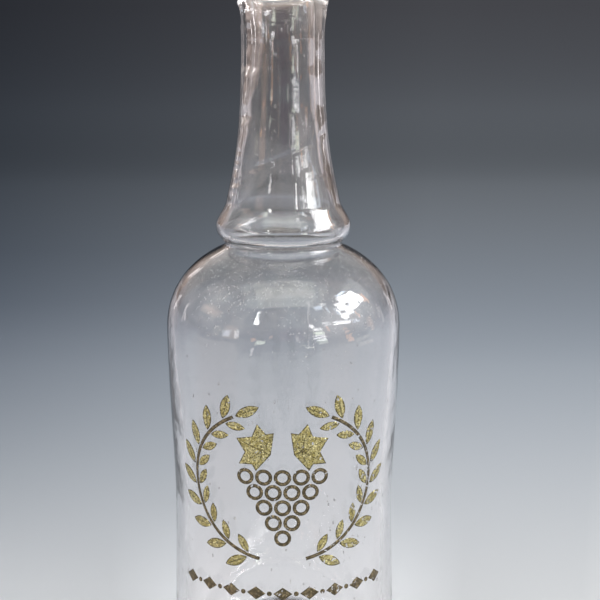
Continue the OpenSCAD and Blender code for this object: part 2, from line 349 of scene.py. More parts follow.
def inside_bulge(g, turn, z):
    """How far the inside stands into the hollow past its true outline."""
    body = ramp(z, 8, 30) * (1 - ramp(z, 266, 270))
    soft = waves(turn, z, 11.5, 3.4, 38) + 0.4 * waves(turn, z, 17.9, 8, 16)
    streak = waves(turn, z, 23.3, 26, 150)
    neck = ramp(z, 183, 196) * (1 - ramp(z, 258, 268))
    broken = ramp(waves(turn, z, 57.1, 3, 22), -0.1, 0.4)
    mark = g.inner_marks * winding_mark(turn, z, 38, 179, 0.8) * broken
    wander = 0.6 * g.inner_marks * waves(turn, z, 63.7, 2, 14)
    kinks = waves(turn, z, 71.9, 1, 2.2) * ramp(abs(waves(turn, z, 77.3, 1, 8)), 0.15, 0.5)
    mark += g.kinks * kinks * on_left(turn, 6)
    mark += g.thick_side * on_left(turn, 3) * ramp(z, 226, 250)
    return body * (g.inner_waves * 0.5 * soft * (1 - 0.3 * neck) + 0.02 * streak) + (mark + wander) * neck


def glass_mesh(g):
    """The closed glass: the outline turned round the axis, with its unevenness."""
    outer, inner, segments = outer_side(g), inner_side(g), 192
    outline = np.vstack([outer, inner])
    ahead, behind = np.roll(outline, -1, 0), np.roll(outline, 1, 0)
    ahead[-1], behind[0] = outline[-1], outline[0]
    along = ahead - behind
    normal = np.column_stack([along[:, 1], -along[:, 0]]) / np.linalg.norm(along, axis=1)[:, None]
    verts, rings = [], []
    for i, ((r, z), (nr, nz)) in enumerate(zip(outline, normal)):
        if r < 1e-6:
            rings.append([len(verts)])
            verts.append((0.0, 0.0, z * MM))
            continue
        is_outside = i < len(outer)
        drift = 0.0 if is_outside else g.bore_drift * ramp(z, 178, 215) * (1 - ramp(z, 256, 268))
        rings.append(range(len(verts), len(verts) + segments))
        for k in range(segments):
            turn = math.tau * k / segments
            push = -outside_dent(g, turn, z) if is_outside else inside_bulge(g, turn, z)
            if not is_outside:
                push = push if nr < 0 or nz > 0 else 0.0
            radius = r + nr * push
            verts.append(((radius * math.cos(turn) - drift) * MM, radius * math.sin(turn) * MM,
                          (z + nz * push) * MM))
    faces = []
    for a, b in zip(rings, rings[1:]):
        for k in range(segments):
            n = (k + 1) % segments
            if len(a) == 1:
                faces.append((a[0], b[n], b[k]))
            elif len(b) == 1:
                faces.append((a[k], a[n], b[0]))
            else:
                faces.append((a[k], a[n], b[n], b[k]))
    mesh = bpy.data.meshes.new("bottle_glass")
    mesh.from_pydata(verts, [], faces)
    return mesh


def add_piece(mesh, material, smooth=True):
    """Puts a mesh in the scene at the origin, with its material."""
    piece = bpy.data.objects.new(mesh.name, mesh)
    bpy.context.scene.collection.objects.link(piece)
    mesh.materials.clear()
    mesh.materials.append(material)
    mesh.shade_smooth() if smooth else mesh.shade_flat()
    return piece


# Node trees

class Nodes:
    """Short calls for the nodes of a tree. A kind without Node in its name gets the tree's prefix."""

    def feed(self, socket, source):
        if isinstance(source, bpy.types.NodeSocket):
            self.tree.links.new(source, socket)
        else:
            socket.default_value = source

    def node(self, kind, links=(), **settings):
        made = self.tree.nodes.new(kind if "Node" in kind else self.prefix + kind)
        for key, value in settings.items():
            setattr(made, key, value)
        for socket, source in dict(links).items():
            self.feed(made.inputs[socket], source)
        return made

    def out(self, kind, links=(), **settings):
        """The first output of a new node."""
        return self.node(kind, links, **settings).outputs[0]

    def math(self, kind, a, b=0.0):
        return self.out("ShaderNodeMath", {0: a, 1: b}, operation=kind)

    def times(self, a, b):
        return self.math("MULTIPLY", a, b)

    def plus(self, a, b):
        return self.math("ADD", a, b)

    def vector(self, kind, a, b):
        """Vector arithmetic, where SCALE takes a number as b."""
        return self.out("ShaderNodeVectorMath", {0: a, "Scale" if kind == "SCALE" else 1: b}, operation=kind)

    def span(self, value, low, high, to_low=0.0, to_high=1.0, **settings):
        """A value between low and high brought to the range from to_low to to_high."""
        return self.out("ShaderNodeMapRange", {"Value": value, "From Min": low, "From Max": high,
                                               "To Min": to_low, "To Max": to_high}, **settings)


class Shader(Nodes):
    """The node tree of a material or of the world."""
    prefix = "ShaderNode"

    def __init__(self, block):
        block.use_nodes = True
        self.block, self.tree = block, block.node_tree
        self.tree.nodes.clear()
        kind = "World" if isinstance(block, bpy.types.World) else "Material"
        self.end = self.node("Output" + kind)

    def noise(self, place, scale, detail=2.0, rough=0.5, stretch=None):
        """Noise from 0 to 1, finer with a greater scale."""
        if stretch:
            place = self.out("Mapping", {"Vector": place, "Scale": stretch})
        return self.out("TexNoise", {"Vector": place, "Scale": scale, "Detail": detail, "Roughness": rough})

    def blend(self, factor, a, b):
        """Colour a where the factor is 0 and b where it is 1."""
        made = self.node("Mix", data_type="RGBA")
        for number, source in ((0, factor), (6, a), (7, b)):
            self.feed(made.inputs[number], source)
        return made.outputs[2]

    def place(self):
        """A point's place in metres, from the middle of the foot."""
        return self.node("TexCoord").outputs["Object"]

    def finish(self, surface, volume=None):
        self.feed(self.end.inputs["Surface"], surface)
        if volume:
            self.feed(self.end.inputs["Volume"], volume)
        return self.block


# Materials in real size: noise scales count in repeats for each metre, levels are heights in metres

def blown_glass(g):
    """Clear, faintly lilac glass with ripples, drawn streaks, some haze and dust on its shoulder."""
    s = Shader(bpy.data.materials.new("blown_glass"))
    place = s.place()
    ripple = s.noise(place, 70, 2.0)
    streak = s.noise(place, 1.0, 2.0, stretch=(520, 520, 9))
    grain = s.noise(place, 600, 3.0, 0.6)
    level = s.node("SeparateXYZ", {0: place}).outputs[2]
    fine = s.plus(s.times(streak, 0.14), s.times(grain, 0.09))
    neck = s.span(level, 0.165, 0.20, 0.25, 1.0)
    height = s.plus(ripple, s.times(fine, neck))
    bump = s.out("Bump", {"Height": height, "Strength": 0.35, "Distance": 0.0004})
    cloud = s.noise(place, 34, 4.0, 0.6)
    haze = s.span(cloud, 0.45, 0.75, 0.0, 0.015)
    veil = s.span(cloud, 0.35, 0.65, 0.998, 0.988)
    speck = s.out("TexVoronoi", {"Vector": place, "Scale": 600.0})
    shoulder = s.times(s.span(level, 0.115, 0.15), s.span(level, 0.176, 0.183, 1.0, 0.0))
    dusty = s.times(shoulder, s.span(cloud, 0.42, 0.58, 0.1, 1.0))
    dust = s.times(s.span(speck, 0.12, 0.17, 0.5, 0.0), dusty)
    veil = s.math("SUBTRACT", veil, dust)
    glass = s.out("BsdfPrincipled", {"Base Color": (1.0, 0.996, 1.0, 1), "Roughness": haze, "IOR": GLASS_IOR,
                                     "Transmission Weight": veil, "Normal": bump})
    return s.finish(glass, s.out("VolumeAbsorption", {"Color": (*g.tint, 1), "Density": g.tint_depth}))


def seed_glass():
    """The tiny bubbles, each a bright lens."""
    s = Shader(bpy.data.materials.new("seed_glass"))
    place = s.place()
    rough = s.span(s.noise(place, 3000), 0.3, 0.7, 0.0, 0.08)
    return s.finish(s.out("BsdfPrincipled", {"Base Color": (0.97, 0.97, 0.98, 1), "Roughness": rough,
                                             "IOR": SEED_IOR, "Transmission Weight": 1.0}))


def fired_gilding(name, main, pale, h):
    """Fired gilding: mottled, speckled, dark round its rim, with painted glints of pale gold, and flaked in
    places, most on the right.
    """
    s = Shader(bpy.data.materials.new(name))
    main, rim = (*main, 1), (*h.rim, 1)
    place = s.place()
    edge, vein, tone = (s.node("Attribute", attribute_name=key).outputs["Fac"]
                        for key in ("edge", "vein", "tone"))
    cloud = s.noise(place, 700, 4.0, 0.7)
    fleck = s.noise(place, 1900, 3.0, 0.7)
    grain = s.noise(place, 4200, 2.0, 0.5)
    colour = s.blend(s.span(cloud, 0.46, 0.56), main, (*pale, 1))
    colour = s.blend(s.span(tone, 0.0, 1.0, 0.0, 0.35), colour, main)
    ragged = s.plus(edge, s.span(fleck, 0.3, 0.7, 0.22, -0.22))
    colour = s.blend(s.span(ragged, 0.18, 0.50, 0.95, 0.0), colour, rim)
    lines = s.plus(vein, s.span(grain, 0.3, 0.7, -0.05, 0.05))
    colour = s.blend(s.span(lines, 0.10, 0.26, 0.8, 0.0), colour, rim)
    colour = s.blend(s.span(fleck, 0.48, 0.60, 0.0, 0.9), colour, rim)
    # painted highlight: small glints of brightened pale gold, painted into the colour
    bright = [min(c * 1.5, 1.0) for c in pale]
    painted_glint = s.span(s.noise(place, 1350, 2.0, 0.6), 0.57, 0.66, 0.0, 0.85)
    colour = s.blend(painted_glint, colour, (*bright, 1))
    rough = s.span(cloud, 0.3, 0.7, 0.34, 0.58)
    bump = s.out("Bump", {"Height": s.plus(fleck, grain), "Strength": 0.5, "Distance": 0.00006})
    flaked = s.noise(place, 620, 4.0, 0.65)
    rubbed = s.span(s.out("SeparateXYZ", {0: place}), 0.008, 0.034, 0.0, 0.07)
    limit = s.math("SUBTRACT", 0.66 - 0.14 * h.wear, rubbed)
    alpha = s.span(s.math("SUBTRACT", flaked, limit), 0.0, 0.03, 1.0, 0.0)
    return s.finish(s.out("BsdfPrincipled", {"Base Color": colour, "Metallic": 0.65, "Roughness": rough,
                                             "Normal": bump, "Alpha": alpha}))


# Repeats by Geometry Nodes

class Tree(Nodes):
    """A Geometry Nodes tree with its inputs."""
    prefix = "GeometryNode"

    def __init__(self, name, inputs):
        self.tree = bpy.data.node_groups.new(name, "GeometryNodeTree")
        self.ids = {}
        for label, kind in {"Geometry": "Geometry", **inputs}.items():
            made = self.tree.interface.new_socket(label, in_out="INPUT", socket_type="NodeSocket" + kind)
            self.ids[label] = made.identifier
        self.tree.interface.new_socket("Geometry", in_out="OUTPUT", socket_type="NodeSocketGeometry")
        self.given = self.node("NodeGroupInput").outputs
        self.end = self.node("NodeGroupOutput")

    def attribute(self, name):
        """A number that the mesh's points carry under this name."""
        return self.out("InputNamedAttribute", {"Name": name}, data_type="FLOAT")

    def finish(self, geometry):
        """Ends the tree with plain geometry in the given material."""
        plain = self.out("RealizeInstances", {"Geometry": geometry})
        dressed = self.out("SetMaterial", {"Geometry": plain, "Material": self.given["Material"]})
        self.feed(self.end.inputs["Geometry"], dressed)
        return self

    def bake(self, carrier, name, values):
        """The tree's result on a carrier mesh, as a plain mesh. The carrier and modifier go away."""
        holder = bpy.data.objects.new(name + "_carrier", carrier)
        bpy.context.scene.collection.objects.link(holder)
        modifier = holder.modifiers.new("make", "NODES")
        modifier.node_group = self.tree
        for label, value in values.items():
            modifier[self.ids[label]] = value
        graph = bpy.context.evaluated_depsgraph_get()
        mesh = bpy.data.meshes.new_from_object(holder.evaluated_get(graph), depsgraph=graph)
        mesh.name = name
        holder.modifiers.remove(modifier)
        bpy.data.objects.remove(holder)
        return mesh


# How far from the axis the rays start that find the glass
WRAP_START = 0.1


def gilding_tree():
    """Places a flat motif on points of the unrolled drawing, wraps it on the glass and thickens it."""
    t = Tree("Gilding on glass", {"Glass": "Object", "Motif": "Object", "Unrolled radius": "Float",
                                  "Thickness": "Float", "Seed": "Int", "Material": "Material"})
    given = t.given
    motif, glass = (t.node("ObjectInfo", {"Object": given[key]}).outputs["Geometry"]
                    for key in ("Motif", "Glass"))
    size = t.attribute("size")
    euler = t.out("ShaderNodeCombineXYZ", {"Z": t.attribute("spin")})
    turned = t.out("FunctionNodeEulerToRotation", {"Euler": euler})
    placed = t.out("InstanceOnPoints", {
        "Points": given["Geometry"], "Instance": motif, "Rotation": turned,
        "Scale": t.out("ShaderNodeCombineXYZ", {"X": size, "Y": size, "Z": size})})
    tone = t.node("FunctionNodeRandomValue", {"Seed": given["Seed"]}, data_type="FLOAT").outputs[1]
    toned = t.out("StoreNamedAttribute", {"Geometry": placed, "Name": "tone", "Value": tone},
                  data_type="FLOAT", domain="INSTANCE")
    flat = t.out("RealizeInstances", {"Geometry": toned})
    drawn = t.node("ShaderNodeSeparateXYZ", {0: t.out("InputPosition")}).outputs
    turn = t.math("DIVIDE", drawn[0], given["Unrolled radius"])
    towards_front = t.times(t.math("COSINE", turn), -1.0)
    outward = t.out("ShaderNodeCombineXYZ", {"X": t.math("SINE", turn), "Y": towards_front})
    inward = t.vector("MULTIPLY", outward, (-1, -1, -1))
    start = t.vector("ADD", t.vector("MULTIPLY", outward, (WRAP_START,) * 3),
                     t.out("ShaderNodeCombineXYZ", {"Z": drawn[1]}))
    hit = t.node("Raycast", {"Target Geometry": glass, "Source Position": start, "Ray Direction": inward,
                             "Ray Length": WRAP_START})
    wrapped = t.out("SetPosition", {"Geometry": flat, "Position": hit.outputs["Hit Position"]})
    dome = t.span(t.attribute("edge"), 0.0, 0.45, 0.4, 1.0, interpolation_type="SMOOTHSTEP")
    rise = t.vector("SCALE", outward, t.times(dome, given["Thickness"]))
    raised = t.out("ExtrudeMesh", {"Mesh": wrapped, "Offset": rise, "Offset Scale": 1.0, "Individual": False},
                   mode="FACES")
    joined = t.node("JoinGeometry")
    for side in (raised, t.out("FlipFaces", {"Mesh": wrapped})):
        t.feed(joined.inputs[0], side)
    return t.finish(t.out("MergeByDistance", {"Geometry": joined.outputs[0], "Distance": 1e-6}))


def seed_tree():
    """Scatters tiny long bubbles in the wall of the glass."""
    t = Tree("Seeds in the glass", {"Count per area": "Float", "Depth": "Float", "Seed": "Int",
                                    "Material": "Material"})
    given = t.given
    per_square_metre = t.times(given["Count per area"], 1000.0)
    scatter = t.node("DistributePointsOnFaces", {
        "Mesh": given["Geometry"], "Density": per_square_metre, "Seed": given["Seed"]}).outputs
    sunk = t.vector("SCALE", scatter["Normal"], t.times(given["Depth"], -1.0))
    points = t.out("SetPosition", {"Geometry": scatter["Points"], "Offset": sunk})
    ball = t.out("MeshUVSphere", {"Segments": 8, "Rings": 5, "Radius": 0.0003})
    size = t.out("FunctionNodeRandomValue", {"Min": (0.5, 0.5, 0.6), "Max": (1.1, 1.1, 2.6),
                                             "Seed": given["Seed"]}, data_type="FLOAT_VECTOR")
    return t.finish(t.out("InstanceOnPoints", {"Points": points, "Instance": ball, "Scale": size}))


# Motifs of the gilding, flat, drawn in millimetres, with each point's distance from the rim and veins

VEIN_SHARE = 0.86
STEM_FOOT, STEM_TIP, LEAF_FIRST, LEAF_LAST, LEAF_SPLAY = (math.radians(a) for a in (14, 150, 20, 141, 42))
VINE_LEAF_TURN, GRAPE_ROW_ANGLE = math.radians(66), math.radians(60)


def to_segments(points, lines):
    """Least distance of each point from a set of straight lines."""
    best = np.full(len(points), 1e9)
    for a, b in lines:
        along = b - a
        t = np.clip(((points - a) @ along) / max(along @ along, 1e-12), 0, 1)
        best = np.minimum(best, np.linalg.norm(points - a - t[:, None] * along, axis=1))
    return best


def motif_object(name, points, faces, rim, veins=()):
    """A flat motif with its edge and vein distances, kept out of the scene."""
    points, no_vein = np.asarray(points, float), 9.0
    mesh = bpy.data.meshes.new(name)
    mesh.from_pydata([(x * MM, y * MM, 0) for x, y in points], [], faces)
    for key, lines in (("edge", rim), ("vein", veins)):
        far = to_segments(points, lines) if len(lines) else np.full(len(points), no_vein)
        mesh.attributes.new(key, "FLOAT", "POINT").data.foreach_set("value", far.astype(np.float32))
    return bpy.data.objects.new(name, mesh)


def closed_lines(loop):
    """The straight lines from each corner of a loop to the next."""
    return list(zip(loop, [*loop[1:], loop[0]]))


def filled_motif(name, corners, centre, per_side, rings, veins=()):
    """A motif filled from a centre that sees all of its rim. Corners run anticlockwise."""
    corners, centre = np.asarray(corners, float), np.asarray(centre, float)
    loop = np.vstack([np.linspace(a, b, per_side, endpoint=False) for a, b in closed_lines(corners)])
    count = len(loop)
    points = [centre]
    for ring in range(1, rings + 1):
        points += list(centre + (loop - centre) * (ring / rings) ** 0.8)
    faces = [(0, 1 + k, 1 + (k + 1) % count) for k in range(count)]
    for ring in range(rings - 1):
        a, b = 1 + ring * count, 1 + (ring + 1) * count
        faces += [(a + k, b + k, b + (k + 1) % count, a + (k + 1) % count) for k in range(count)]
    return motif_object(name, points, faces, closed_lines(corners), veins)


def band_motif(name, left, right, across, closed=False):
    """A motif that fills the band between two lines. Left lies on the left of their run."""
    left, right = np.asarray(left, float), np.asarray(right, float)
    steps = len(left)
    points = [right[i] + (left[i] - right[i]) * k / across for i in range(steps) for k in range(across + 1)]
    faces = []
    for i in range(steps if closed else steps - 1):
        a, b = i * (across + 1), ((i + 1) % steps) * (across + 1)
        faces += [(a + k, b + k, b + k + 1, a + k + 1) for k in range(across)]
    rim = closed_lines(left)[:-1] + closed_lines(right)[:-1]
    ends = [(left[0], right[0]), (left[-1], right[-1])]
    rim += [(left[-1], left[0]), (right[-1], right[0])] if closed else ends
    return motif_object(name, points, faces, rim)


def leaf_motif(length_mm, width):
    """A pointed laurel leaf with a midrib, from its foot up."""
    middle, half_width = length_mm / 2, width / 2
    r = (length_mm**2 + width**2) / (4 * width)
    half = math.asin(middle / r)
    right = [(r * math.cos(turn) - (r - half_width), middle + r * math.sin(turn))
             for turn in np.linspace(-half, half, 15)]
    left = [(-x, y) for x, y in right[-2:0:-1]]
    midrib = [(np.array([0.0, 0.0]), np.array([0.0, length_mm * VEIN_SHARE]))]
    return filled_motif("leaf", right + left, (0, middle), 1, 5, midrib)


def vine_leaf_motif(length_mm):
    """A lobed vine leaf with a vein to each lobe. Lobes and notches take turns, a step apart."""
    reach, step, heart_share = [0.6, 0.5, 0.85, 0.6, 1, 0.6, 0.85, 0.5, 0.6], 24, 0.22
    tips = []
    for i, far in enumerate(reach):
        turn = math.radians((i - 4) * step)
        tip = [far * math.sin(turn), heart_share + (1 - heart_share) * far * math.cos(turn)]
        tips.append(length_mm * np.array(tip))
    foot, heart = np.array([0.0, 0.0]), np.array([0.0, length_mm * heart_share])
    veins = [(heart, heart + (tip - heart) * VEIN_SHARE) for tip in tips[::2]]
    return filled_motif("vine_leaf", [foot] + tips[::-1], heart + [0, 0.6], 4, 7, veins + [(foot, heart)])


def round_line(d, steps=40):
    """Points of a circle, anticlockwise."""
    return [(d / 2 * math.cos(turn), d / 2 * math.sin(turn))
            for turn in np.linspace(0, math.tau, steps, endpoint=False)]


def stem_point(h, t):
    """A point of the right stem's middle line, which is a part of an ellipse."""
    return np.array([h.wreath_w / 2 * math.sin(t), -h.wreath_h / 2 * math.cos(t)])


def stem_heading(h, t):
    """The way that the stem runs at that point, as a turn from straight up."""
    return math.atan2(-h.wreath_w / 2 * math.cos(t), h.wreath_h / 2 * math.sin(t))


def stem_lines(h, side):
    """The two edges of a stem of the wreath, in the unrolled drawing."""
    near, far = [], []
    for t in np.linspace(STEM_FOOT, STEM_TIP, 90):
        point, heading = stem_point(h, t), stem_heading(h, t)
        across = np.array([math.cos(heading), math.sin(heading)]) * h.stem_w / 2
        near.append((point - across) * [side, 1])
        far.append((point + across) * [side, 1])
    return (far, near) if side > 0 else (near, far)


def leaf_place(h, side, t, turn, clear, size):
    """A leaf's foot, clear of the stem, with its heading and its size."""
    spin = stem_heading(h, t) + turn
    foot = stem_point(h, t) + np.array([-math.sin(spin), math.cos(spin)]) * clear
    return side * foot[0], h.wreath_z + foot[1], side * spin, size


def wreath_places(h):
    """Where the leaves of the wreath go: pairs along each stem and one at its tip."""
    clear = h.stem_w / 2 / math.sin(LEAF_SPLAY) + h.gap
    places = []
    for side in (-1, 1):
        for t in np.linspace(LEAF_FIRST, LEAF_LAST, h.leaf_pairs):
            for edge, size in ((-1, 1.0), (1, h.inner_leaf)):
                places.append(leaf_place(h, side, t, edge * LEAF_SPLAY, clear, size))
        places.append(leaf_place(h, side, STEM_TIP, 0, h.gap * 2, 1.0))
    return places


def drawing_points(places):
    """A mesh of loose points of the unrolled drawing, each with a heading and a size."""
    mesh = bpy.data.meshes.new("places")
    mesh.from_pydata([(u * MM, z * MM, 0) for u, z, _, _ in places], [], [])
    for key, column in (("spin", 2), ("size", 3)):
        mesh.attributes.new(key, "FLOAT", "POINT").data.foreach_set("value", [p[column] for p in places])
    return mesh


def gild(name, node, material, groups):
    """One piece of gilding from groups of a motif and its places, standing for a CAD node."""
    scene = bpy.context.scene
    glass, h = scene.objects["bottle_glass"], scene.bottle_gilding
    tree = gilding_tree()
    joined = bmesh.new()
    for number, (motif, places) in enumerate(groups):
        mesh = tree.bake(drawing_points(places), name, {
            "Glass": glass, "Motif": motif, "Unrolled radius": scene.bottle_glass.waist_d / 2,
            "Thickness": h.thickness, "Seed": 5 + number, "Material": material})
        joined.from_mesh(mesh)
        bpy.data.meshes.remove(mesh)
    made = bpy.data.meshes.new(name)
    joined.to_mesh(made)
    joined.free()
    if not made.polygons:
        raise RuntimeError(f"{name} came out empty")
    piece = add_piece(made, material)
    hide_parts(node)
    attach(piece, "root")
    return piece


def gold_finish():
    """Fired gold, made once."""
    name, h = "fired_gold", bpy.context.scene.bottle_gilding
    return bpy.data.materials.get(name) or fired_gilding(name, h.gold, h.pale_gold, h)


def bronze_finish():
    """Gilding darkened to bronze, made once."""
    name, h = "fired_bronze", bpy.context.scene.bottle_gilding
    return bpy.data.materials.get(name) or fired_gilding(name, h.bronze, [c * 3 for c in h.bronze], h)


class BOTTLE_OT_glass(bpy.types.Operator):
    """Blows the glass: foot, body, neck ring, neck and lip as one closed piece"""
    bl_idname = "bottle.glass"
    bl_label = "Glass"

    def execute(self, context):
        g = sizes_mm(context.scene.bottle_glass)
        piece = add_piece(glass_mesh(g), blown_glass(g))
        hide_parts("bottle")
        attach(piece, "root")
        return {"FINISHED"}


class BOTTLE_OT_seeds(bpy.types.Operator):
    """Scatters the small bubbles in the glass"""
    bl_idname = "bottle.seeds"
    bl_label = "Seeds"

    def execute(self, context):
        g = context.scene.bottle_glass
        glass = context.scene.objects["bottle_glass"]
        material = seed_glass()
        mesh = seed_tree().bake(glass.data.copy(), "glass_seeds", {
            "Count per area": float(g.seeds), "Depth": g.wall_ring / 2, "Seed": 11, "Material": material})
        piece = add_piece(mesh, material)
        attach(piece, "root")
        return {"FINISHED"}


class BOTTLE_OT_wreath(bpy.types.Operator):
    """Gilds the two leafy branches of the wreath"""
    bl_idname = "bottle.wreath"
    bl_label = "Wreath"

    def execute(self, context):
        h = sizes_mm(context.scene.bottle_gilding)
        gild("wreath_leaves", "gilt_wreath_leaves", gold_finish(),
             [(leaf_motif(h.leaf_l, h.leaf_w), wreath_places(h))])
        stems = [(band_motif("stem", *stem_lines(h, side), 4), [(0, h.wreath_z, 0, 1)]) for side in (-1, 1)]
        gild("wreath_stems", "gilt_wreath_stems", bronze_finish(), stems)
        return {"FINISHED"}


class BOTTLE_OT_grapes(bpy.types.Operator):
    """Gilds the bunch of grapes and the two vine leaves over it"""
    bl_idname = "bottle.grapes"
    bl_label = "Grapes and vine leaves"

    def execute(self, context):
        h = sizes_mm(context.scene.bottle_gilding)
        pitch, top = h.grape_d + h.gap, h.wreath_z + h.bunch_rise
        places = []
        for row in range(h.grape_rows):
            gaps = h.grape_rows - 1 - row
            z = top - row * pitch * math.sin(GRAPE_ROW_ANGLE)
            places += [((i - gaps / 2) * pitch, z, 0, 1) for i in range(gaps + 1)]
        inside, outside = round_line(h.grape_d - 2 * h.grape_line), round_line(h.grape_d)
        ring = band_motif("grape", inside, outside, 4, closed=True)
        gild("grapes", "gilt_grapes", bronze_finish(), [(ring, places)])
        z = top + h.grape_d / 2 + h.vine_leaf_l * 0.42
        leaves = [(side * h.vine_leaf_l * 0.3, z, -side * VINE_LEAF_TURN, 1) for side in (-1, 1)]
        gild("vine_leaves", "gilt_vine_leaves", gold_finish(),
             [(vine_leaf_motif(h.vine_leaf_l), leaves)])
        return {"FINISHED"}


class BOTTLE_OT_border(bpy.types.Operator):
    """Gilds the row of lozenges and dots under the wreath"""
    bl_idname = "bottle.border"
    bl_label = "Border"

    def execute(self, context):
        h = sizes_mm(context.scene.bottle_gilding)
        pitch = h.lozenge_l + h.dot_d + 2 * h.gap
        middle = (h.border_count - 1) / 2
        lozenges = [((i - middle) * pitch, h.border_z, 0, 1) for i in range(h.border_count)]
        dots = [((i - middle - 0.5) * pitch, h.border_z, 0, 1) for i in range(1, h.border_count)]
        corners = [(h.lozenge_l / 2, 0), (0, h.lozenge_h / 2), (-h.lozenge_l / 2, 0), (0, -h.lozenge_h / 2)]
        gild("border", "gilt_border", bronze_finish(), [
            (filled_motif("lozenge", corners, (0, 0), 6, 6), lozenges),
            (filled_motif("dot", round_line(h.dot_d, 20), (0, 0), 1, 3), dots)])
        return {"FINISHED"}


# Room, lamps and camera. The lamps aim at the shoulder.

SHOULDER_Z, FLOOR_REACH = 0.16, 150
CAMERA_SIDE, CAMERA_Z, CAMERA_DOWN, LENS_MM, SENSOR_MM = 0.00626, 0.2619, 12.4, 81.0, 36.0


def painted_left_shade(s, slope, dusk, even=0.0):
    """Painted shade on the paper behind the bottle: dark towards the left, less so where it is even."""
    side = s.span(slope, -0.22, 0.10)
    side = s.plus(side, s.times(even, s.math("SUBTRACT", 1.0, side)))
    return s.blend(side, (*dusk, 1), (1, 1, 1, 1))


def colour_ramp(s, value, stops, interpolation="CARDINAL"):
    """A colour that runs through stops of a place and a colour, which may come in any order."""
    made = s.node("ValToRGB", {0: value})
    elements = made.color_ramp.elements
    made.color_ramp.interpolation = interpolation
    for i, (spot, colour) in enumerate(stops):
        element = elements[i] if i < 2 else elements.new(spot)
        element.position, element.color = spot, (*colour, 1)
    return made.outputs[0]


def plan_length(s, x, y):
    """Distance from the axis, seen from above."""
    return s.math("SQRT", s.plus(s.times(x, x), s.times(y, y)))


def paper_behind(s, stage, x, away):
    """The paper behind the bottle, with painted shade on its left, a painted pool of light just behind the
    bottle and painted light out to its sides. Fade is high near the camera and falls with distance.
    """
    fade = s.math("DIVIDE", 0.26, away)
    slope = s.math("DIVIDE", x, away)
    aside = s.math("ABSOLUTE", slope)
    paper = colour_ramp(s, fade, ((0.0, stage.far), (0.48, stage.near), (0.07, stage.distant),
                                  (0.13, stage.back), (0.27, stage.middle)))
    # painted shade: the paper darkens towards the left, its edge shifted near the camera
    shifted = s.plus(slope, s.span(fade, 0.18, 0.25, 0.0, 0.055))
    shaded = painted_left_shade(s, shifted, stage.dusk, s.span(fade, 0.22, 0.45, 0.0, 0.75))
    # painted light: a soft pool of light just behind the bottle, where the glass would focus light
    painted_caustic = s.times(s.span(aside, 0.09, 0.14, 0.2, 0.0), s.span(fade, 0.38, 0.45))
    paper = s.vector("SCALE", s.vector("MULTIPLY", paper, shaded), s.plus(painted_caustic, 1.0))
    # painted light: warm light painted onto the paper out to its sides
    lit = s.times(s.span(aside, 0.235, 0.32), s.span(fade, 0.05, 0.42, 0.40, 0.22))
    return s.vector("ADD", paper, s.vector("SCALE", (1.0, 0.91, 0.92), lit))


def paper_in_front(s, stage, x, y):
    """The paper in front of the bottle and beside it, which ends in a dim rest of the table."""
    out = plan_length(s, x, y)
    lefts = s.span(s.math("DIVIDE", s.math("SUBTRACT", x, y), out), 0.05, -0.05)
    rights = s.span(s.math("DIVIDE", x, out), 0.45, 0.9)
    reach = s.math("SUBTRACT", 1.0, s.plus(s.times(lefts, 0.6), s.times(rights, 0.4)))
    fall = s.span(s.times(out, reach), 0.55, 0.575, 1.0, 0.4)
    return s.vector("SCALE", s.blend(lefts, (*stage.right, 1), (*stage.left, 1)), fall)


def sweep_floor(stage):
    """Paper that fades to slate far behind the bottle and is pale in front of it and on its left."""
    s = Shader(bpy.data.materials.new("sweep_paper"))
    x, y, _ = s.node("SeparateXYZ", {0: s.place()}).outputs
    behind = paper_behind(s, stage, x, s.math("MAXIMUM", s.plus(y, stage.near_edge), 0.2))
    colour = s.blend(s.span(y, -0.06, 0.05), paper_in_front(s, stage, x, y), behind)
    return s.finish(s.out("BsdfPrincipled", {"Base Color": colour, "Roughness": 0.9,
                                             "Specular IOR Level": 0.0}))


def towards(s, x, y, plan, heading):
    """1 for a way that lies on a heading in degrees from the front towards +X, 0 across it."""
    turn = math.radians(heading)
    return s.math("DIVIDE", s.plus(s.times(x, math.sin(turn)), s.times(y, -math.cos(turn))), plan)


